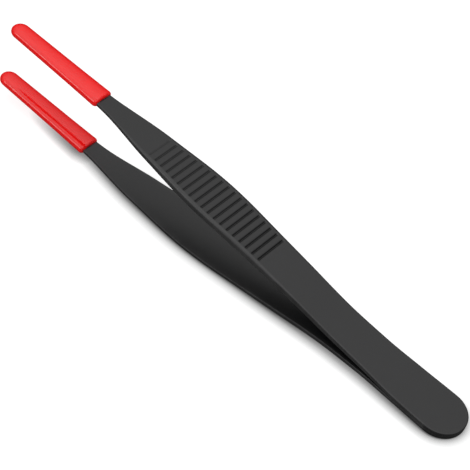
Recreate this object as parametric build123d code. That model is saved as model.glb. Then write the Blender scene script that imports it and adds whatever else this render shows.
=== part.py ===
from build123d import *
from math import atan2, degrees
import os

# Rubber-tipped thumb tweezers, in millimetres.
# Two bowed steel legs lie face to face at the rounded heel, where they are welded,
# and stand apart towards the tips. A soft sleeve is pushed over each tip.
# Each leg is drawn with the heel at x = 0, the tips towards +X and the weld plane at
# z = 0. The finished pair is then tipped to lie as it rests on a table, on its heel
# and on the bow of its lower leg, with the origin under the middle of its outline.

# Lengths along the leg, from the heel
overall_length = 125.6
heel_flat_end = 11.0
neck_x = 36.0
grip_x = 67.0
sleeve_mouth_x = 99.5
blade_end_x = 122.6

# Where the outlines change between those places
side_after_heel_flat = 3.0
bend_before_neck = 6.0
flank_before_grip = 21.0
thick_before_grip = 7.0
bow_before_grip = 3.0
thick_after_grip = 5.0
round_after_grip = 9.0
shoulder_after_grip = 15.0
taper_after_grip = 17.0
straight_before_mouth = 2.5

# Half widths of the leg in plan
heel_half_width = 5.6
heel_side_half_width = 5.4
neck_half_width = 4.65
grip_half_width = 5.66
mouth_half_width = 2.1
blade_end_half_width = 1.55
waist_hollow = 0.16
flank_hollow = 0.03
taper_fullness = 0.39

# Outer face of the leg above the weld plane
bend_height = 1.95
flank_height = 4.2
bow_height = 6.4
shoulder_height = 7.4
tip_height = 7.69

# Thickness of the steel
heel_thickness = 0.85
neck_thickness = 1.12
grip_thickness = 1.3
tip_thickness = 0.72

# Rounding of the long edges
heel_edge_rounding = 0.3
grip_edge_rounding = 1.0
tip_edge_rounding = 0.22
inner_edge_rounding = 0.12

# Finger grooves across the outer face of each leg
groove_count = 18
groove_first_x = 52.15
groove_pitch = 1.741
groove_half_width = 0.56
groove_bottom_half_width = 0.03
groove_heel_depth = 0.34
groove_tip_depth = 0.2
groove_fade_depth = 0.09
groove_edge_margin = 1.05
groove_lip = 0.03

# Tip sleeves, flared towards the mouth
sleeve_mouth_half_width = 2.72
sleeve_mouth_half_height = 1.25
flare_length = 8.0
sleeve_body_half_width = 2.49
sleeve_body_half_height = 1.18
sleeve_tip_half_width = 2.17
sleeve_tip_half_height = 1.12
sleeve_lip_rounding = 0.45
sleeve_clearance = 0.04

# Spacing of the cross-sections that shape a leg and a sleeve
section_spacing = 9.0


def smooth_through(points):
    """Returns a curve y(x) through the points that never overshoots them."""
    xs, ys = zip(*points)
    steps = [b - a for a, b in zip(xs, xs[1:])]
    rises = [(b - a) / step for a, b, step in zip(ys, ys[1:], steps)]
    slopes = [0.0]
    for before, after, left, right in zip(rises, rises[1:], steps, steps[1:]):
        if before * after <= 0:
            slopes.append(0.0)
        else:
            near, far = left + 2 * right, 2 * left + right
            slopes.append((near + far) / (near / before + far / after))
    slopes.append(0.0)

    def curve(x):
        x = min(max(x, xs[0]), xs[-1])
        i = max(k for k in range(len(steps)) if xs[k] <= x)
        step = steps[i]
        t = (x - xs[i]) / step
        hermite = (1 + 2 * t) * (1 - t) ** 2 * ys[i] + t * t * (3 - 2 * t) * ys[i + 1]
        return hermite + t * (1 - t) * step * ((1 - t) * slopes[i] - t * slopes[i + 1])

    return curve


flank_x = grip_x - flank_before_grip
bow_x = grip_x - bow_before_grip
straight_x = sleeve_mouth_x - straight_before_mouth
blade_round_x = blade_end_x - blade_end_half_width
flare_end_x = sleeve_mouth_x + flare_length
sleeve_round_x = overall_length - sleeve_tip_half_width

half_width = smooth_through(
    [
        (heel_half_width, heel_half_width),
        (heel_flat_end + side_after_heel_flat, heel_side_half_width),
        (
            (heel_flat_end + neck_x) / 2,
            (heel_side_half_width + neck_half_width) / 2 - waist_hollow,
        ),
        (neck_x, neck_half_width),
        (
            (neck_x + grip_x) / 2,
            (neck_half_width + grip_half_width) / 2 - flank_hollow,
        ),
        (grip_x, grip_half_width),
        (
            grip_x + taper_after_grip,
            (grip_half_width + mouth_half_width) / 2 + taper_fullness,
        ),
        (sleeve_mouth_x, mouth_half_width),
        (blade_round_x, blade_end_half_width),
    ]
)
outer_height = smooth_through(
    [
        (0, heel_thickness),
        (heel_flat_end, heel_thickness),
        (neck_x - bend_before_neck, bend_height),
        (flank_x, flank_height),
        (bow_x, bow_height),
        (grip_x + shoulder_after_grip, shoulder_height),
        (straight_x, tip_height),
    ]
)
thickness = smooth_through(
    [
        (heel_flat_end, heel_thickness),
        (neck_x, neck_thickness),
        (grip_x - thick_before_grip, grip_thickness),
        (grip_x + thick_after_grip, grip_thickness),
        (straight_x, tip_thickness),
    ]
)
edge_rounding = smooth_through(
    [
        (heel_flat_end, heel_edge_rounding),
        (neck_x, heel_edge_rounding),
        (grip_x - thick_before_grip, grip_edge_rounding),
        (grip_x + round_after_grip, grip_edge_rounding),
        (straight_x, tip_edge_rounding),
    ]
)


def stations(start_x, end_x, spacing):
    """Evenly spaced places from start to end."""
    count = max(2, round((end_x - start_x) / spacing))
    return [start_x + (end_x - start_x) * i / count for i in range(count + 1)]


def half_turned(section, x, turn_from):
    """Half-round end: turns the section at x about an upright axis there."""
    side = Plane.YZ.offset(x) * Rectangle(
        overall_length, overall_length, align=(Align.MIN, Align.CENTER)
    )
    return revolve(section & side, Axis((x, 0, 0), (0, 0, turn_from)), 180)


def leg_section(x, clearance=0.0):
    """Cross-section of a leg: flat faces, well rounded outer edges, eased inner ones."""
    width = 2 * (half_width(x) + clearance)
    height = thickness(x) + 2 * clearance
    middle = outer_height(x) - thickness(x) / 2
    section = Rectangle(width, height)
    outer_corners = section.vertices().group_by(Axis.Y)[-1]
    section = fillet(outer_corners, edge_rounding(x) + clearance)
    inner_corners = section.vertices().group_by(Axis.Y)[0]
    section = fillet(inner_corners, inner_edge_rounding + clearance)
    return Plane.YZ.offset(x) * Pos(0, middle) * section


def leg_end(x, turn_from, clearance=0.0):
    """Half-round end of a leg at x."""
    return half_turned(leg_section(x, clearance), x, turn_from)


def leg_run(start_x, end_x, clearance=0.0):
    """Stretch of a leg between two places along it, lofted through its sections."""
    return loft([leg_section(x, clearance) for x in stations(start_x, end_x, section_spacing)])


def slope(x):
    """Angle of the leg's outer face to the weld plane, in degrees."""
    step = 0.05
    return degrees(atan2(outer_height(x + step) - outer_height(x - step), 2 * step))


def groove_cutter(x, depth):
    """Tool for one groove: sloped shoulders down to a narrow bottom, along and at both ends."""
    length = 2 * (half_width(x) - groove_edge_margin)
    inset = 2 * (groove_half_width - groove_bottom_half_width)
    mouth = Rectangle(2 * groove_half_width, length)
    bottom = Rectangle(2 * groove_bottom_half_width, length - inset)
    body = loft([Pos(0, 0, -depth) * bottom, Pos(0, 0, groove_lip) * mouth], ruled=True)
    return Pos(x, 0, outer_height(x)) * Rot(0, -slope(x), 0) * body


def groove_cutters():
    """All the grooves of one leg, shallower towards the tip, the last one only a trace."""
    cutters = []
    for i in range(groove_count):
        share = i / max(1, groove_count - 1)
        depth = groove_heel_depth + (groove_tip_depth - groove_heel_depth) * share
        cutters.append(groove_cutter(groove_first_x + i * groove_pitch, depth))
    cutters.append(groove_cutter(groove_first_x + groove_count * groove_pitch, groove_fade_depth))
    return cutters


def make_blade(clearance=0.0):
    """Straight end of a leg, or with a clearance the bore that it fits."""
    return leg_run(straight_x, blade_round_x, clearance) + leg_end(blade_round_x, -1, clearance)


def make_leg():
    """Upper leg, with its inner face on the weld plane at the heel."""
    leg = leg_end(heel_half_width, 1) + leg_run(heel_half_width, heel_flat_end)
    leg += leg_run(heel_flat_end, straight_x) + make_blade()
    for cutter in groove_cutters():
        leg -= cutter
    return leg


def sleeve_section(x, half_width_here, half_height_here):
    """Outer outline of a sleeve: flat faces and half-round sides."""
    straight = 2 * (half_width_here - half_height_here)
    middle = tip_height - tip_thickness / 2
    section = SlotCenterToCenter(straight, 2 * half_height_here)
    return Plane.YZ.offset(x) * Pos(0, middle) * section


def make_sleeve():
    """Upper sleeve: flared, rounded mouth, round tip and a bore for the blade."""
    mouth = sleeve_section(sleeve_mouth_x, sleeve_mouth_half_width, sleeve_mouth_half_height)
    flare_end = sleeve_section(flare_end_x, sleeve_body_half_width, sleeve_body_half_height)
    tip = sleeve_section(sleeve_round_x, sleeve_tip_half_width, sleeve_tip_half_height)
    flare = loft([mouth, flare_end])
    flare = fillet(flare.faces().sort_by(Axis.X)[0].edges(), sleeve_lip_rounding)
    body = flare + loft([flare_end, tip]) + half_turned(tip, sleeve_round_x, -1)
    return body - make_blade(sleeve_clearance)


def rest_angle():
    """Angle that brings the heel and the bow of the lower leg down to one level."""
    places = stations(heel_flat_end, sleeve_mouth_x, section_spacing / 20)[1:]
    return degrees(max(atan2(outer_height(x) - heel_thickness, x) for x in places))


upper_leg = make_leg().solid()
upper_sleeve = make_sleeve().solid()
pieces = {
    "upper_leg": upper_leg,
    "lower_leg": mirror(upper_leg, Plane.XY),
    "upper_tip_sleeve": upper_sleeve,
    "lower_tip_sleeve": mirror(upper_sleeve, Plane.XY),
}

# Tip the pair onto its heel and bow, then set the origin under the middle of its box
tipped = {name: Rot(0, -rest_angle(), 0) * piece for name, piece in pieces.items()}
box = Compound(list(tipped.values())).bounding_box()
to_origin = Pos(-box.center().X, -box.center().Y, -box.min.Z)

os.makedirs("parts", exist_ok=True)
for name, piece in tipped.items():
    export_step(to_origin * piece, f"parts/{name}.step")
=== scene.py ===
from math import atan2, cos, hypot, pi, radians, sin, sqrt

import bmesh
import bpy
from bpy.props import FloatProperty, FloatVectorProperty, IntProperty, PointerProperty
from mathutils import Matrix, Vector


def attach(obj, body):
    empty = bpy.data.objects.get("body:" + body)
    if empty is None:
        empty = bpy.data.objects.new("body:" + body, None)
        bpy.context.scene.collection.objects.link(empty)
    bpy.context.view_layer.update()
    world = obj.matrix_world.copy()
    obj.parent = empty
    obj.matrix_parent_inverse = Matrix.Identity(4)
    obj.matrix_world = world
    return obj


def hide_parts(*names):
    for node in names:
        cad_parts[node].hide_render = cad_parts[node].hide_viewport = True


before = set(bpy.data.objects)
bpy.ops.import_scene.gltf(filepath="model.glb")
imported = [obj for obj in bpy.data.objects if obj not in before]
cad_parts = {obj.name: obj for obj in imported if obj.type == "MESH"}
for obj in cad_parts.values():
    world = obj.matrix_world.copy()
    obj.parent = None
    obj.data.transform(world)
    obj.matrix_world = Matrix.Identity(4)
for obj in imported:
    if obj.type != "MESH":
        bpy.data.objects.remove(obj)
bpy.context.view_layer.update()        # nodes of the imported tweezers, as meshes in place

bl_info = {
    "name": "Rubber-tipped tweezers",
    "version": (1, 0, 0),
    "blender": (4, 5, 0),
    "location": "3D View > Sidebar > Tweezers",
    "description": "Bowed black steel tweezers with grooved grips and soft red tip sleeves",
    "category": "Object",
}


# Sizes and colours

class LegSizes(bpy.types.PropertyGroup):
    """Sizes of one leg, measured along it from the heel and up from the weld plane."""

    overall_length: FloatProperty(
        name="Overall length", description="Heel to the end of the sleeve",
        default=0.12559, unit="LENGTH", subtype="DISTANCE")
    heel_flat_end: FloatProperty(
        name="Heel flat", description="Where the flat, welded heel ends",
        default=0.011, unit="LENGTH", subtype="DISTANCE")
    neck_x: FloatProperty(
        name="Neck", description="Place of the narrowest part, where the leg bends away",
        default=0.036, unit="LENGTH", subtype="DISTANCE")
    grip_x: FloatProperty(
        name="Grip", description="Place of the widest part of the finger grip",
        default=0.067, unit="LENGTH", subtype="DISTANCE")
    sleeve_mouth_x: FloatProperty(
        name="Sleeve mouth", description="Where the sleeve begins",
        default=0.0995, unit="LENGTH", subtype="DISTANCE")
    blade_end_x: FloatProperty(
        name="Blade end", description="End of the steel inside the sleeve",
        default=0.1226, unit="LENGTH", subtype="DISTANCE")
    heel_half_width: FloatProperty(
        name="Heel half width", description="Radius of the rounded heel",
        default=0.0056, unit="LENGTH", subtype="DISTANCE")
    heel_side_half_width: FloatProperty(
        name="Heel side half width", description="Half width behind the rounded heel",
        default=0.0054, unit="LENGTH", subtype="DISTANCE")
    neck_half_width: FloatProperty(
        name="Neck half width", description="Half width at the neck",
        default=0.00465, unit="LENGTH", subtype="DISTANCE")
    grip_half_width: FloatProperty(
        name="Grip half width", description="Half width at the grip",
        default=0.00564, unit="LENGTH", subtype="DISTANCE")
    mouth_half_width: FloatProperty(
        name="Blade half width", description="Half width of the steel at the sleeve mouth",
        default=0.0021, unit="LENGTH", subtype="DISTANCE")
    blade_end_half_width: FloatProperty(
        name="Blade end half width", description="Radius of the blade's rounded end",
        default=0.00155, unit="LENGTH", subtype="DISTANCE")
    bend_height: FloatProperty(
        name="Bend height", description="Height of the outer face just before the neck",
        default=0.00195, unit="LENGTH", subtype="DISTANCE")
    flank_height: FloatProperty(
        name="Flank height", description="Height of the outer face as the grooves begin",
        default=0.0042, unit="LENGTH", subtype="DISTANCE")
    bow_height: FloatProperty(
        name="Bow height", description="Height of the outer face on the bow",
        default=0.0064, unit="LENGTH", subtype="DISTANCE")
    shoulder_height: FloatProperty(
        name="Shoulder height", description="Height of the outer face past the grooves",
        default=0.0074, unit="LENGTH", subtype="DISTANCE")
    tip_height: FloatProperty(
        name="Tip height", description="Height of the outer face of the straight blade",
        default=0.00769, unit="LENGTH", subtype="DISTANCE")
    heel_thickness: FloatProperty(
        name="Heel thickness", description="Thickness of the steel at the heel",
        default=0.00085, unit="LENGTH", subtype="DISTANCE")
    neck_thickness: FloatProperty(
        name="Neck thickness", description="Thickness of the steel at the neck",
        default=0.00112, unit="LENGTH", subtype="DISTANCE")
    grip_thickness: FloatProperty(
        name="Grip thickness", description="Thickness of the steel at the grip",
        default=0.0013, unit="LENGTH", subtype="DISTANCE")
    tip_thickness: FloatProperty(
        name="Blade thickness", description="Thickness of the steel in the sleeve",
        default=0.00072, unit="LENGTH", subtype="DISTANCE")
    heel_edge_rounding: FloatProperty(
        name="Heel edge rounding", description="Radius of the outer edges at the heel",
        default=0.0003, unit="LENGTH", subtype="DISTANCE")
    grip_edge_rounding: FloatProperty(
        name="Grip edge rounding", description="Radius of the outer edges along the grip",
        default=0.001, unit="LENGTH", subtype="DISTANCE")
    tip_edge_rounding: FloatProperty(
        name="Tip edge rounding", description="Radius of the outer edges of the blade",
        default=0.00022, unit="LENGTH", subtype="DISTANCE")
    inner_edge_rounding: FloatProperty(
        name="Inner edge rounding", description="Radius of the inner edges",
        default=0.00012, unit="LENGTH", subtype="DISTANCE")
    rest_tilt: FloatProperty(
        name="Rest tilt", description="Tilt of the pair as it lies on its heel and bow",
        default=radians(4.961527), unit="ROTATION", subtype="ANGLE")


class GrooveSizes(bpy.types.PropertyGroup):
    """Finger grooves across the outer face of each leg."""

    count: IntProperty(
        name="Grooves", description="Number of full grooves across each leg", default=18, min=1)
    first_x: FloatProperty(
        name="First groove", description="Place of the groove nearest the heel",
        default=0.05215, unit="LENGTH", subtype="DISTANCE")
    pitch: FloatProperty(
        name="Pitch", description="Distance from one groove to the next",
        default=0.001741, unit="LENGTH", subtype="DISTANCE")
    half_width: FloatProperty(
        name="Half width", description="Half width of a groove between the crowned lands",
        default=0.00052, unit="LENGTH", subtype="DISTANCE")
    heel_depth: FloatProperty(
        name="Heel depth", description="Depth of the grooves nearest the heel",
        default=0.00034, unit="LENGTH", subtype="DISTANCE")
    tip_depth: FloatProperty(
        name="Tip depth", description="Depth of the grooves nearest the tip",
        default=0.0002, unit="LENGTH", subtype="DISTANCE")
    fade_depth: FloatProperty(
        name="Trace depth", description="Depth of the last trace of a groove",
        default=0.00009, unit="LENGTH", subtype="DISTANCE")
    edge_margin: FloatProperty(
        name="Edge margin", description="Land left between a groove's end and the leg's side",
        default=0.0008, unit="LENGTH", subtype="DISTANCE")
    crown: FloatProperty(
        name="Land crown", description="How far the lands round off towards the grooves",
        default=0.00009, unit="LENGTH", subtype="DISTANCE")
    lip: FloatProperty(
        name="Lip", description="Height over which a groove's shoulder eases into the land",
        default=0.00003, unit="LENGTH", subtype="DISTANCE")


class SleeveSizes(bpy.types.PropertyGroup):
    """Soft sleeve that is pushed over each blade."""

    mouth_half_width: FloatProperty(
        name="Mouth half width", description="Half width of the sleeve at its open end",
        default=0.00272, unit="LENGTH", subtype="DISTANCE")
    mouth_half_height: FloatProperty(
        name="Mouth half height", description="Half height of the sleeve at its open end",
        default=0.00125, unit="LENGTH", subtype="DISTANCE")
    flare_length: FloatProperty(
        name="Flare length", description="Length over which the sleeve widens to its mouth",
        default=0.008, unit="LENGTH", subtype="DISTANCE")
    body_half_width: FloatProperty(
        name="Body half width", description="Half width of the sleeve past the flare",
        default=0.00249, unit="LENGTH", subtype="DISTANCE")
    body_half_height: FloatProperty(
        name="Body half height", description="Half height of the sleeve past the flare",
        default=0.00118, unit="LENGTH", subtype="DISTANCE")
    tip_half_width: FloatProperty(
        name="Tip half width", description="Radius of the sleeve's rounded tip",
        default=0.00217, unit="LENGTH", subtype="DISTANCE")
    tip_half_height: FloatProperty(
        name="Tip half height", description="Half height of the sleeve at its tip",
        default=0.001117, unit="LENGTH", subtype="DISTANCE")
    crown: FloatProperty(
        name="Crown", description="How square the cross-section is: 2 is an ellipse",
        default=2.15, min=2, max=8, subtype="FACTOR")
    lip_rounding: FloatProperty(
        name="Lip rounding", description="Radius round the outside of the mouth",
        default=0.0007, unit="LENGTH", subtype="DISTANCE")
    clearance: FloatProperty(
        name="Clearance", description="Gap between the blade and the bore",
        default=0.00004, unit="LENGTH", subtype="DISTANCE")


class FinishColours(bpy.types.PropertyGroup):
    """Colours and gloss of the two finishes."""

    steel: FloatVectorProperty(
        name="Black coating", description="Colour of the coating on the flat faces",
        default=(0.009, 0.009, 0.0095), size=3, min=0, max=1, subtype="COLOR")
    # Lighter colour of the rounded edges: partly rubbed coating, partly a painted highlight where
    # the edges catch the light
    steel_rubbed_and_highlit: FloatVectorProperty(
        name="Rubbed coating", description="Colour of the coating where edges are rubbed",
        default=(0.036, 0.036, 0.036), size=3, min=0, max=1, subtype="COLOR")
    vinyl: FloatVectorProperty(
        name="Red vinyl", description="Colour of the sleeves",
        default=(0.97, 0.007, 0.006), size=3, min=0, max=1, subtype="COLOR")
    vinyl_deep: FloatVectorProperty(
        name="Thick red vinyl", description="Colour of the sleeves where the vinyl is thick",
        default=(0.86, 0.004, 0.004), size=3, min=0, max=1, subtype="COLOR")


class StudioSettings(bpy.types.PropertyGroup):
    """Camera, floor, lamp and room light."""

    camera_place: FloatVectorProperty(
        name="Camera place", description="Where the camera stands",
        default=(-0.136649, 0.244578, 0.292980), size=3, subtype="TRANSLATION")
    aim: FloatVectorProperty(
        name="Aim", description="Point that the camera looks at",
        default=(-0.002805, 0.000507, 0.008005), size=3, subtype="TRANSLATION")
    roll: FloatProperty(
        name="Roll", description="Turn of the camera about its own axis",
        default=radians(15.23), unit="ROTATION", subtype="ANGLE")
    lens: FloatProperty(
        name="Lens", description="Focal length of the lens", default=150.58, unit="CAMERA")
    lamp_place: FloatVectorProperty(
        name="Lamp place", description="Where the soft lamp stands",
        default=(0.25, 0.5, 0.5), size=3, subtype="TRANSLATION")
    lamp_width: FloatProperty(
        name="Lamp width", description="Width of the soft lamp",
        default=0.3, unit="LENGTH", subtype="DISTANCE")
    lamp_height: FloatProperty(
        name="Lamp height", description="Height of the soft lamp",
        default=0.15, unit="LENGTH", subtype="DISTANCE")
    lamp_power: FloatProperty(
        name="Lamp power", description="Power of the soft lamp on the near side",
        default=0.6, min=0, unit="POWER")
    room_low: FloatProperty(
        name="Room light, low", description="Strength of the room light at floor level",
        default=0.05, min=0, max=2, subtype="FACTOR")
    room_high: FloatProperty(
        name="Room light, high", description="Strength of the room light overhead",
        default=1.75, min=0, max=3, subtype="FACTOR")
    room_focus: FloatProperty(
        name="Room light focus", description="How closely the room light gathers overhead",
        default=2.0, min=0.5, max=8, subtype="FACTOR")
    floor_reach: FloatProperty(
        name="Floor reach", description="How far the floor reaches to each side",
        default=2.0, unit="LENGTH", subtype="DISTANCE")
    floor_colour: FloatVectorProperty(
        name="Floor", description="Colour of the floor as it lights the tweezers",
        default=(0.7, 0.7, 0.7), size=3, min=0, max=1, subtype="COLOR")
    floor_mirrored: FloatVectorProperty(
        name="Floor mirrored", description="Colour of the floor as glossy surfaces mirror it",
        default=(0.14, 0.14, 0.14), size=3, min=0, max=1, subtype="COLOR")
    floor_shown: FloatVectorProperty(
        name="Floor shown", description="Colour of the floor as the camera sees it",
        default=(0.33, 0.33, 0.33), size=3, min=0, max=1, subtype="COLOR")
    floor_gloss: FloatProperty(
        name="Floor in gloss", description="How white the floor shows in glossy surfaces",
        default=0.05, min=0, max=1, subtype="FACTOR")
    floor_lift: FloatProperty(
        name="Floor lift", description="Light added to the floor so that it shows white",
        default=0.82, min=0, max=1, subtype="FACTOR")
    shade_reach: FloatProperty(
        name="Shade reach", description="How far the close shade round the tweezers reaches",
        default=0.0025, unit="LENGTH", subtype="DISTANCE")
    shade_depth: FloatProperty(
        name="Shade depth", description="How deep the close shade is",
        default=1.4, min=0, max=4, subtype="FACTOR")


SIZE_GROUPS = {
    "tweezers_leg": LegSizes,
    "tweezers_grooves": GrooveSizes,
    "tweezers_sleeve": SleeveSizes,
    "tweezers_colours": FinishColours,
    "tweezers_studio": StudioSettings,
}


# Form of a leg and its sleeve

def smooth_through(points):
    """Returns a curve y(x) through the points that never overshoots them."""
    xs, ys = zip(*points)
    steps = [b - a for a, b in zip(xs, xs[1:])]
    rises = [(b - a) / step for a, b, step in zip(ys, ys[1:], steps)]
    slopes = [0.0]
    for before, after, left, right in zip(rises, rises[1:], steps, steps[1:]):
        if before * after <= 0:
            slopes.append(0.0)
        else:
            near, far = left + 2 * right, 2 * left + right
            slopes.append((near + far) / (near / before + far / after))
    slopes.append(0.0)

    def curve(x):
        x = min(max(x, xs[0]), xs[-1])
        i = max(k for k in range(len(steps)) if xs[k] <= x)
        step = steps[i]
        t = (x - xs[i]) / step
        hermite = (1 + 2 * t) * (1 - t) ** 2 * ys[i] + t * t * (3 - 2 * t) * ys[i + 1]
        return hermite + t * (1 - t) * step * ((1 - t) * slopes[i] - t * slopes[i + 1])

    return curve


def straight_through(points):
    """Returns a line y(x) that goes straight from point to point."""

    def line(x):
        pairs = list(zip(points, points[1:]))
        (x0, y0), (x1, y1) = next((pair for pair in pairs if x <= pair[1][0]), pairs[-1])
        return y0 + (y1 - y0) * (x - x0) / (x1 - x0)

    return line


def even_steps(start, end, count):
    """Places from start up to, but without, end."""
    return [start + (end - start) * i / count for i in range(count)]


# Where the outlines of a leg change between the places that its sizes name
SIDE_AFTER_HEEL_FLAT = 0.003
BEND_BEFORE_NECK = 0.006
FLANK_BEFORE_GRIP = 0.021
THICK_BEFORE_GRIP = 0.007
BOW_BEFORE_GRIP = 0.003
THICK_AFTER_GRIP = 0.005
ROUND_AFTER_GRIP = 0.009
SHOULDER_AFTER_GRIP = 0.015
TAPER_AFTER_GRIP = 0.017
STRAIGHT_BEFORE_MOUTH = 0.0025

# How far the plan leaves the mean of its neighbours at the waist, the flank and the taper
WAIST_HOLLOW = 0.00016
FLANK_HOLLOW = 0.00003
TAPER_FULLNESS = 0.00039

# How finely a leg is divided: round its edges, across its faces and along it
OUTER_ARC = 9
INNER_ARC = 3
TOP_PARTS = 34
TOP_SHARES = [sin(pi / 2 * i / TOP_PARTS) for i in range(TOP_PARTS)]
BOTTOM_SHARES = [0.985, 0.9, 0.75, 0.6, 0.45, 0.3, 0.15, 0.0]
HEEL_STATIONS = 70
STATIONS_PER_GROOVE = 20
BLADE_STATIONS = 50
HEEL_TURN_STEPS = 40
BLADE_TURN_STEPS = 20

# How finely a sleeve is divided: round its side, over its lip and along it
SLEEVE_PARTS = 48
LIP_PARTS = 8
BORE_STATIONS = 12
SLEEVE_STATIONS = 60
TIP_TURN_STEPS = 32

# Half the distance over which a slope is measured, and the distance at which points are one
SLOPE_REACH = 0.00005
JOIN_DISTANCE = 1e-7

# Where the heel's end stands on the weld plane once the pair is at rest
HEEL_PLACE = Vector((-0.0628594, 0.0, 0.000849538))


class LegForm:
    """Plan, bow, thickness and edges of a leg, worked out from its sizes."""

    def __init__(self, leg, grooves):
        self.leg = leg
        self.grooves = grooves
        grip_x = leg.grip_x
        self.straight_x = leg.sleeve_mouth_x - STRAIGHT_BEFORE_MOUTH
        self.round_x = leg.blade_end_x - leg.blade_end_half_width
        heel, side, neck = leg.heel_half_width, leg.heel_side_half_width, leg.neck_half_width
        grip, mouth = leg.grip_half_width, leg.mouth_half_width
        self.half_width = smooth_through([
            (heel, heel),
            (leg.heel_flat_end + SIDE_AFTER_HEEL_FLAT, side),
            ((leg.heel_flat_end + leg.neck_x) / 2, (side + neck) / 2 - WAIST_HOLLOW),
            (leg.neck_x, neck),
            ((leg.neck_x + grip_x) / 2, (neck + grip) / 2 - FLANK_HOLLOW),
            (grip_x, grip),
            (grip_x + TAPER_AFTER_GRIP, (grip + mouth) / 2 + TAPER_FULLNESS),
            (leg.sleeve_mouth_x, mouth),
            (self.round_x, leg.blade_end_half_width),
        ])
        self.outer_height = smooth_through([
            (0, leg.heel_thickness),
            (leg.heel_flat_end, leg.heel_thickness),
            (leg.neck_x - BEND_BEFORE_NECK, leg.bend_height),
            (grip_x - FLANK_BEFORE_GRIP, leg.flank_height),
            (grip_x - BOW_BEFORE_GRIP, leg.bow_height),
            (grip_x + SHOULDER_AFTER_GRIP, leg.shoulder_height),
            (self.straight_x, leg.tip_height),
        ])
        self.thickness = smooth_through([
            (leg.heel_flat_end, leg.heel_thickness),
            (leg.neck_x, leg.neck_thickness),
            (grip_x - THICK_BEFORE_GRIP, leg.grip_thickness),
            (grip_x + THICK_AFTER_GRIP, leg.grip_thickness),
            (self.straight_x, leg.tip_thickness),
        ])
        self.edge_rounding = smooth_through([
            (leg.heel_flat_end, leg.heel_edge_rounding),
            (leg.neck_x, leg.heel_edge_rounding),
            (grip_x - THICK_BEFORE_GRIP, leg.grip_edge_rounding),
            (grip_x + ROUND_AFTER_GRIP, leg.grip_edge_rounding),
            (self.straight_x, leg.tip_edge_rounding),
        ])

    def slope(self, x):
        """Angle of the outer face to the weld plane."""
        rise = self.outer_height(x + SLOPE_REACH) - self.outer_height(x - SLOPE_REACH)
        return atan2(rise, 2 * SLOPE_REACH)

    def groove_depth(self, x, y):
        """Depth of the finger grooves at a point of the outer face."""
        grooves = self.grooves
        index = round((x - grooves.first_x) / grooves.pitch)
        if index < 0 or index > grooves.count:
            return 0.0
        centre = grooves.first_x + index * grooves.pitch
        share = index / max(1, grooves.count - 1)
        depth = grooves.heel_depth + (grooves.tip_depth - grooves.heel_depth) * share
        if index == grooves.count:
            depth = grooves.fade_depth
        run = self.half_width(centre) - grooves.edge_margin - grooves.half_width
        beyond = max(0.0, abs(y) - run)
        land = max(0.0, 1 - 2 * abs(x - centre) / grooves.pitch)
        crown = grooves.crown * depth / grooves.heel_depth * land * land
        crown *= max(0.0, 1 - beyond / grooves.half_width)
        away = hypot(x - centre, beyond)
        if away >= grooves.half_width:
            return crown
        rise = depth + grooves.lip
        shoulder = (grooves.half_width ** 2 + rise ** 2) / (2 * rise)
        inset = grooves.half_width - away
        return crown + max(0.0, shoulder - sqrt(shoulder ** 2 - inset ** 2) - grooves.lip)

    def half_ring(self, x):
        """Half cross-section at x from the middle of the outer face to that of the inner."""
        width = self.half_width(x)
        top = self.outer_height(x)
        bottom = top - self.thickness(x)
        outer = self.edge_rounding(x)
        inner = self.leg.inner_edge_rounding
        flat = width - outer
        points = [(flat * share, top) for share in TOP_SHARES]
        for i in range(OUTER_ARC + 1):
            turn = pi / 2 * i / OUTER_ARC
            points.append((flat + outer * sin(turn), top - outer + outer * cos(turn)))
        points.append((width, (top - outer + bottom + inner) / 2))
        for i in range(INNER_ARC + 1):
            turn = pi / 2 * i / INNER_ARC
            points.append((width - inner + inner * cos(turn), bottom + inner - inner * sin(turn)))
        points += [((width - inner) * share, bottom) for share in BOTTOM_SHARES]
        return points


def rolled_tube(bm, stations, half_ring):
    """Rolls a grid into a tube whose cross-section at each station mirrors the half ring."""
    half = len(half_ring(stations[0]))
    around = 2 * (half - 1)
    along = len(stations) - 1
    grid = bmesh.ops.create_grid(bm, x_segments=along, y_segments=around, size=0.5)["verts"]
    rings = [half_ring(x) for x in stations]
    for vert in grid:
        i = round((vert.co.x + 0.5) * along)
        j = round((vert.co.y + 0.5) * around)
        side, k = (1, j) if j < half else (-1, around - j)
        y, z = rings[i][k]
        vert.co = (stations[i], side * y, z)
    bmesh.ops.remove_doubles(bm, verts=bm.verts, dist=JOIN_DISTANCE)


def turned_end(bm, x, direction, steps):
    """Closes a tube at x with a half-round end, turned about an upright axis there."""
    rim = [edge for edge in bm.edges if edge.is_boundary and all(
        abs(vert.co.x - x) < JOIN_DISTANCE and vert.co.y > -JOIN_DISTANCE for vert in edge.verts)]
    verts = list(dict.fromkeys(vert for edge in rim for vert in edge.verts))
    bmesh.ops.spin(
        bm, geom=rim + verts, cent=(x, 0, 0), axis=(0, 0, direction), dvec=(0, 0, 0),
        angle=pi, space=Matrix.Identity(4), steps=steps, use_merge=False,
        use_normal_flip=False, use_duplicate=False)
    bmesh.ops.remove_doubles(bm, verts=bm.verts, dist=JOIN_DISTANCE)


def leg_stations(form):
    """Places of a leg's cross-sections: close together over the grooves."""
    leg, grooves = form.leg, form.grooves
    grooves_start = grooves.first_x - grooves.pitch
    grooves_end = grooves.first_x + (grooves.count + 1) * grooves.pitch
    fine = STATIONS_PER_GROOVE * (grooves.count + 2)
    stations = even_steps(leg.heel_half_width, grooves_start, HEEL_STATIONS)
    stations += even_steps(grooves_start, grooves_end, fine)
    stations += even_steps(grooves_end, form.round_x, BLADE_STATIONS)
    return stations + [form.round_x]


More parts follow.
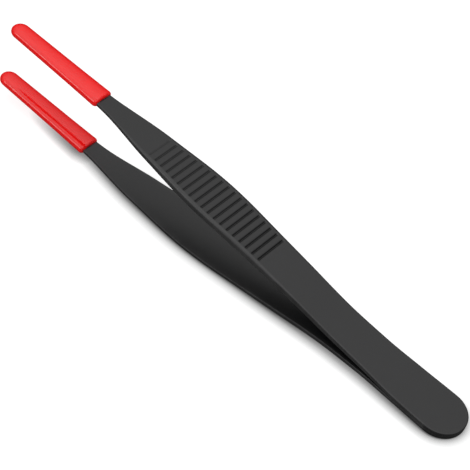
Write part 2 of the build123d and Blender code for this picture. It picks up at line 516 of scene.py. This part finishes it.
def place_at_rest(bm, leg, upper):
    """Turns the lower piece over, then lays the pair on its heel and bow."""
    if not upper:
        bmesh.ops.scale(bm, vec=(1, 1, -1), verts=bm.verts)
    tilt = Matrix.Rotation(-leg.rest_tilt, 4, "Y")
    bmesh.ops.transform(bm, matrix=Matrix.Translation(HEEL_PLACE) @ tilt, verts=bm.verts)
    bmesh.ops.recalc_face_normals(bm, faces=bm.faces)


def finished(bm, name, node, finish):
    """Makes a smooth object of the mesh, in place of a node of the frame."""
    mesh = bpy.data.meshes.new(name)
    bm.to_mesh(mesh)
    bm.free()
    mesh.shade_smooth()
    mesh.materials.append(finish)
    piece = bpy.data.objects.new(name, mesh)
    bpy.context.scene.collection.objects.link(piece)
    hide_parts(node)
    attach(piece, "root")


def press_grooves(bm, form):
    """Presses the grooves into the outer face, and marks them and the rounded edges."""
    edge_mark = bm.verts.layers.float.new("edge")
    groove_mark = bm.verts.layers.float.new("groove")
    for vert in bm.verts:
        x, y, z = vert.co
        if not form.leg.heel_half_width < x < form.round_x:
            continue
        radius = form.edge_rounding(x)
        beyond = abs(y) - (form.half_width(x) - radius)
        vert[edge_mark] = min(1.0, max(0.0, beyond / radius))
        if form.outer_height(x) - z > radius:
            continue
        depth = form.groove_depth(x, y)
        if depth > 0:
            tilt = form.slope(x)
            vert.co.x += depth * sin(tilt)
            vert.co.z -= depth * cos(tilt)
            vert[groove_mark] = min(1.0, depth / form.grooves.heel_depth)


def model_leg(form, name, node, upper, finish):
    """Bowed leg: rounded heel, grooved grip and straight blade."""
    bm = bmesh.new()
    rolled_tube(bm, leg_stations(form), form.half_ring)
    turned_end(bm, form.leg.heel_half_width, 1, HEEL_TURN_STEPS)
    turned_end(bm, form.round_x, -1, BLADE_TURN_STEPS)
    press_grooves(bm, form)
    place_at_rest(bm, form.leg, upper)
    finished(bm, name, node, finish)


class SleeveForm:
    """Outline and bore of a sleeve, worked out from its sizes and the blade's."""

    def __init__(self, form, sleeve):
        leg = form.leg
        self.form = form
        self.sleeve = sleeve
        self.mouth_x = leg.sleeve_mouth_x
        self.end_x = leg.overall_length - sleeve.tip_half_width
        self.middle = leg.tip_height - leg.tip_thickness / 2
        flare_end = leg.sleeve_mouth_x + sleeve.flare_length
        self.half_width = straight_through([
            (self.mouth_x, sleeve.mouth_half_width), (flare_end, sleeve.body_half_width),
            (self.end_x, sleeve.tip_half_width)])
        self.half_height = straight_through([
            (self.mouth_x, sleeve.mouth_half_height), (flare_end, sleeve.body_half_height),
            (self.end_x, sleeve.tip_half_height)])

    def outline(self, x, inset):
        """Half of the pillowed cross-section at x, from the top of the sleeve to its bottom."""
        wide, high = self.half_width(x) - inset, self.half_height(x) - inset
        power = self.sleeve.crown
        points = []
        for i in range(SLEEVE_PARTS + 1):
            turn = pi * i / SLEEVE_PARTS
            across, up = sin(turn), cos(turn)
            reach = (abs(across) ** power + abs(up) ** power) ** (-1 / power)
            points.append((wide * across * reach, self.middle + high * up * reach))
        return points

    def bore(self, x):
        """Half of the bore's cross-section at x, with as many points as the outline."""
        clearance = self.sleeve.clearance
        wide = self.form.half_width(x) + clearance
        high = self.form.leg.tip_thickness / 2 + clearance
        points = []
        for y, z in self.outline(self.mouth_x, 0.0):
            points.append((max(-wide, min(wide, y)),
                           self.middle + max(-high, min(high, z - self.middle))))
        return points

    def rings(self):
        """Place and cross-section of each ring, out of the bore, over the lip and to the tip."""
        depth = self.form.leg.blade_end_x + self.sleeve.clearance - self.mouth_x
        rounding = self.sleeve.lip_rounding
        rings = []
        for i in range(BORE_STATIONS + 1):
            x = self.mouth_x + depth * (1 - i / BORE_STATIONS)
            rings.append((x, self.bore(x)))
        for i in range(LIP_PARTS + 1):
            turn = pi / 2 * i / LIP_PARTS
            x = self.mouth_x + rounding * (1 - cos(turn))
            rings.append((x, self.outline(x, rounding * (1 - sin(turn)))))
        start = self.mouth_x + rounding
        for i in range(1, SLEEVE_STATIONS + 1):
            x = start + (self.end_x - start) * i / SLEEVE_STATIONS
            rings.append((x, self.outline(x, 0.0)))
        return rings


def model_sleeve(form, sleeve, name, node, upper, finish):
    """Sleeve with pillowed faces, a rounded lip, a round tip and a bore for the blade."""
    sleeve_form = SleeveForm(form, sleeve)
    rings = sleeve_form.rings()
    bm = bmesh.new()
    rolled_tube(bm, list(range(len(rings))), lambda i: rings[i][1])
    for vert in bm.verts:
        vert.co.x = rings[round(vert.co.x)][0]
    turned_end(bm, sleeve_form.end_x, -1, TIP_TURN_STEPS)
    bore_end = [edge for edge in bm.edges if edge.is_boundary]
    bmesh.ops.contextual_create(bm, geom=bore_end)
    place_at_rest(bm, form.leg, upper)
    finished(bm, name, node, finish)


# Finishes

class Signal:
    """Output of a shader node that takes part in Python arithmetic."""

    def __init__(self, finish, socket):
        self.finish = finish
        self.socket = socket

    def maths(self, operation, first, second):
        return self.finish.node("ShaderNodeMath", {"operation": operation}, {0: first, 1: second})

    def __add__(self, other):
        return self.maths("ADD", self, other)

    __radd__ = __add__

    def __sub__(self, other):
        return self.maths("SUBTRACT", self, other)

    def __rsub__(self, other):
        return self.maths("SUBTRACT", other, self)

    def __mul__(self, other):
        return self.maths("MULTIPLY", self, other)

    __rmul__ = __mul__

    def __pow__(self, other):
        return self.maths("POWER", self, other)


class Finish:
    """Material or room light whose nodes all come from one method."""

    def __init__(self, name, kind="materials"):
        self.material = getattr(bpy.data, kind).new(name)
        self.material.use_nodes = True
        self.tree = self.material.node_tree
        self.tree.nodes.clear()

    def node(self, kind, settings=None, inputs=None, output=0):
        """Adds a node, sets it, then gives each socket its value or its link."""
        node = self.tree.nodes.new(kind)
        for name, value in (settings or {}).items():
            setattr(node, name, value)
        for name, value in (inputs or {}).items():
            if isinstance(value, Signal):
                self.tree.links.new(value.socket, node.inputs[name])
            else:
                node.inputs[name].default_value = value
        return Signal(self, node.outputs[output]) if node.outputs else None

    def clamped(self, value):
        """Number kept between 0 and 1."""
        return self.node(
            "ShaderNodeMath", {"operation": "ADD", "use_clamp": True}, {0: value, 1: 0.0})

    def between(self, factor, low, high):
        """Number that goes from low to high with the factor."""
        return low + (high - low) * factor

    def mixed(self, factor, first, second):
        """Colour that goes from the first to the second with the factor."""
        pair = {0: factor}
        for socket, colour in ((6, first), (7, second)):
            pair[socket] = colour if isinstance(colour, Signal) else (*colour, 1)
        return self.node("ShaderNodeMix", {"data_type": "RGBA"}, pair, 2)

    def noise(self, place, scale, detail):
        """Cloudy number whose scale is counted in each metre."""
        return self.node(
            "ShaderNodeTexNoise", None, {"Vector": place, "Scale": scale, "Detail": detail})

    def scaled(self, colour, level):
        """Colour made darker or lighter by a number."""
        return self.node(
            "ShaderNodeVectorMath", {"operation": "SCALE"}, {0: colour, "Scale": level})

    def ray(self, kind):
        """1 for rays of one kind, 0 for the others."""
        return self.node("ShaderNodeLightPath", None, None, f"Is {kind} Ray")

    def surface(self, shader):
        self.node("ShaderNodeOutputMaterial", None, {"Surface": shader})


# Scale of the patterns in the finishes, in each metre
STEEL_GRAIN = 5200.0
STEEL_CLOUD = 260.0
VINYL_WAVE = 420.0
VINYL_GRAIN = 2600.0

# Lowest and highest of what those patterns vary
STEEL_TONE = (0.85, 1.15)
STEEL_ROUGHNESS = (0.32, 0.42)
VINYL_ROUGHNESS = (0.12, 0.2)

# How far edges are rubbed and lit with a painted highlight, how much painted shade darkens a full
# groove, and the share of fine waves
EDGE_WEAR_AND_HIGHLIGHT = 1.2
GROOVE_PAINTED_SHADE = 0.55
FINE_WAVES = 0.1

# Index of refraction of both finishes
REFRACTION = 1.5

# Where the socket of object coordinates and that of an attribute's number are on their nodes
OBJECT_PLACE = 3
ATTRIBUTE_NUMBER = 2


def black_steel(colours):
    """Thin satin black coating over stamped steel, a little rubbed along its edges, with a
    painted highlight on the rounded edges and painted shade in the grooves.
    """
    finish = Finish("satin_black_coating")
    place = finish.node("ShaderNodeTexCoord", output=OBJECT_PLACE)
    edge = finish.node(
        "ShaderNodeAttribute", {"attribute_name": "edge"}, output=ATTRIBUTE_NUMBER)
    groove = finish.node(
        "ShaderNodeAttribute", {"attribute_name": "groove"}, output=ATTRIBUTE_NUMBER)
    grain = finish.noise(place, STEEL_GRAIN, 2.0)
    cloud = finish.noise(place, STEEL_CLOUD, 3.0)
    # Rounded edges made lighter: partly rubbed coating, partly a painted highlight along the edge
    # rounding
    rubbed_and_highlit = finish.clamped(edge * cloud * EDGE_WEAR_AND_HIGHLIGHT)
    colour = finish.mixed(rubbed_and_highlit, tuple(colours.steel), tuple(colours.steel_rubbed_and_highlit))
    shade = finish.between(cloud, *STEEL_TONE)
    # Painted shade in the grooves, darker where a groove is deeper
    depth = 1 - GROOVE_PAINTED_SHADE * groove
    toned = finish.scaled(colour, shade * depth)
    roughness = finish.between(grain, *STEEL_ROUGHNESS)
    bump = finish.node(
        "ShaderNodeBump", None, {"Strength": 0.5, "Distance": 0.00003, "Height": grain})
    finish.surface(finish.node("ShaderNodeBsdfPrincipled", None, {
        "Base Color": toned, "Roughness": roughness, "Normal": bump, "IOR": REFRACTION}))
    return finish.material


def red_vinyl(colours):
    """Glossy soft vinyl, dipped, with a faint waviness."""
    finish = Finish("glossy_red_vinyl")
    place = finish.node("ShaderNodeTexCoord", output=OBJECT_PLACE)
    wave = finish.noise(place, VINYL_WAVE, 2.0)
    fine = finish.noise(place, VINYL_GRAIN, 2.0)
    colour = finish.mixed(wave, tuple(colours.vinyl), tuple(colours.vinyl_deep))
    height = wave + FINE_WAVES * fine
    bump = finish.node(
        "ShaderNodeBump", None, {"Strength": 0.2, "Distance": 0.00005, "Height": height})
    roughness = finish.between(fine, *VINYL_ROUGHNESS)
    finish.surface(finish.node("ShaderNodeBsdfPrincipled", None, {
        "Base Color": colour, "Roughness": roughness, "Normal": bump, "IOR": REFRACTION,
        "Subsurface Weight": 0.2, "Subsurface Scale": 0.0008}))
    return finish.material


def studio_floor(studio):
    """Pale floor that shows white, with a shade close round the tweezers."""
    finish = Finish("white_studio_floor")
    near = finish.node(
        "ShaderNodeAmbientOcclusion", {"samples": 16}, {"Distance": studio.shade_reach}, "AO")
    shade = near ** studio.shade_depth
    glossy = finish.ray("Glossy")
    shown = finish.ray("Camera") + studio.floor_gloss * glossy + finish.ray("Transmission")
    seen = finish.clamped(shown)
    bounced = finish.mixed(glossy, tuple(studio.floor_colour), tuple(studio.floor_mirrored))
    colour = finish.mixed(seen, bounced, tuple(studio.floor_shown))
    lit = finish.node("ShaderNodeBsdfDiffuse", None, {"Color": finish.scaled(colour, shade)})
    glow = finish.node(
        "ShaderNodeEmission", None,
        {"Color": (1, 1, 1, 1), "Strength": seen * shade * studio.floor_lift})
    finish.surface(finish.node("ShaderNodeAddShader", None, {0: lit, 1: glow}))
    return finish.material


def room_light(studio):
    """Soft light from all round, brightest overhead, before a white backdrop."""
    finish = Finish("soft_room_light", "worlds")
    place = finish.node("ShaderNodeTexCoord", output="Generated")
    height = finish.node("ShaderNodeSeparateXYZ", None, {"Vector": place}, "Z")
    upward = finish.clamped(height) ** studio.room_focus
    level = finish.between(upward, studio.room_low, studio.room_high)
    camera = finish.ray("Camera")
    light = level * (1 - camera) + camera
    background = finish.node(
        "ShaderNodeBackground", None, {"Color": (1, 1, 1, 1), "Strength": light})
    finish.node("ShaderNodeOutputWorld", None, {"Surface": background})
    return finish.material


# Operators

def leg_form(scene):
    """Form of a leg as the panel's sizes give it."""
    return LegForm(scene.tweezers_leg, scene.tweezers_grooves)


class TWEEZERS_OT_legs(bpy.types.Operator):
    """Model the two bowed, grooved steel legs"""

    bl_idname = "tweezers.legs"
    bl_label = "Steel legs"
    bl_options = {"REGISTER", "UNDO"}

    def execute(self, context):
        form = leg_form(context.scene)
        finish = black_steel(context.scene.tweezers_colours)
        model_leg(form, "upper_steel_leg", "upper_leg", True, finish)
        model_leg(form, "lower_steel_leg", "lower_leg", False, finish)
        return {"FINISHED"}


class TWEEZERS_OT_sleeves(bpy.types.Operator):
    """Model the soft red sleeve over each blade"""

    bl_idname = "tweezers.sleeves"
    bl_label = "Tip sleeves"
    bl_options = {"REGISTER", "UNDO"}

    def execute(self, context):
        form = leg_form(context.scene)
        sleeve = context.scene.tweezers_sleeve
        finish = red_vinyl(context.scene.tweezers_colours)
        model_sleeve(form, sleeve, "upper_vinyl_sleeve", "upper_tip_sleeve", True, finish)
        model_sleeve(form, sleeve, "lower_vinyl_sleeve", "lower_tip_sleeve", False, finish)
        return {"FINISHED"}


def pointed(place, aim):
    """Turns and places a lamp or a camera so that it looks at a point."""
    turned = (aim - place).to_track_quat("-Z", "Y").to_matrix().to_4x4()
    return Matrix.Translation(place) @ turned


class TWEEZERS_OT_stage(bpy.types.Operator):
    """Set up the white floor, the room light, the soft lamp and the camera"""

    bl_idname = "tweezers.stage"
    bl_label = "Studio"
    bl_options = {"REGISTER", "UNDO"}

    def execute(self, context):
        scene = context.scene
        studio = scene.tweezers_studio
        bm = bmesh.new()
        bmesh.ops.create_grid(bm, x_segments=1, y_segments=1, size=studio.floor_reach)
        mesh = bpy.data.meshes.new("studio_floor")
        bm.to_mesh(mesh)
        bm.free()
        mesh.materials.append(studio_floor(studio))
        floor = bpy.data.objects.new("studio_floor", mesh)
        scene.collection.objects.link(floor)

        scene.world = room_light(studio)

        lamp = bpy.data.lights.new("soft_near_lamp", "AREA")
        lamp.shape = "RECTANGLE"
        lamp.size, lamp.size_y = studio.lamp_width, studio.lamp_height
        lamp.energy = studio.lamp_power
        key = bpy.data.objects.new("soft_near_lamp", lamp)
        key.matrix_world = pointed(Vector(studio.lamp_place), Vector())
        scene.collection.objects.link(key)

        data = bpy.data.cameras.new("photograph_camera")
        data.lens = studio.lens
        data.sensor_width = 36.0
        data.clip_start, data.clip_end = 0.01, 10.0
        camera = bpy.data.objects.new("photograph_camera", data)
        roll = Matrix.Rotation(studio.roll, 4, "Z")
        camera.matrix_world = pointed(Vector(studio.camera_place), Vector(studio.aim)) @ roll
        scene.collection.objects.link(camera)
        scene.camera = camera
        scene.view_settings.view_transform = "Standard"
        return {"FINISHED"}


class TWEEZERS_PT_pieces(bpy.types.Panel):
    """Pieces and sizes of the tweezers"""

    bl_idname = "TWEEZERS_PT_pieces"
    bl_label = "Tweezers"
    bl_space_type = "VIEW_3D"
    bl_region_type = "UI"
    bl_category = "Tweezers"

    def draw(self, context):
        for operator in OPERATORS:
            self.layout.operator(operator.bl_idname)
        for name, group in SIZE_GROUPS.items():
            box = self.layout.box()
            sizes = getattr(context.scene, name)
            for size in group.__annotations__:
                box.prop(sizes, size)


OPERATORS = (TWEEZERS_OT_stage, TWEEZERS_OT_legs, TWEEZERS_OT_sleeves)


def register():
    for group in SIZE_GROUPS.values():
        bpy.utils.register_class(group)
    for kind in (*OPERATORS, TWEEZERS_PT_pieces):
        bpy.utils.register_class(kind)
    for name, group in SIZE_GROUPS.items():
        setattr(bpy.types.Scene, name, PointerProperty(type=group))


def unregister():
    for name in SIZE_GROUPS:
        delattr(bpy.types.Scene, name)
    for kind in (TWEEZERS_PT_pieces, *reversed(OPERATORS)):
        bpy.utils.unregister_class(kind)
    for group in reversed(SIZE_GROUPS.values()):
        bpy.utils.unregister_class(group)


def main():
    register()
    bpy.ops.tweezers.stage()
    bpy.ops.tweezers.legs()
    bpy.ops.tweezers.sleeves()


if __name__ == "__main__":
    main()
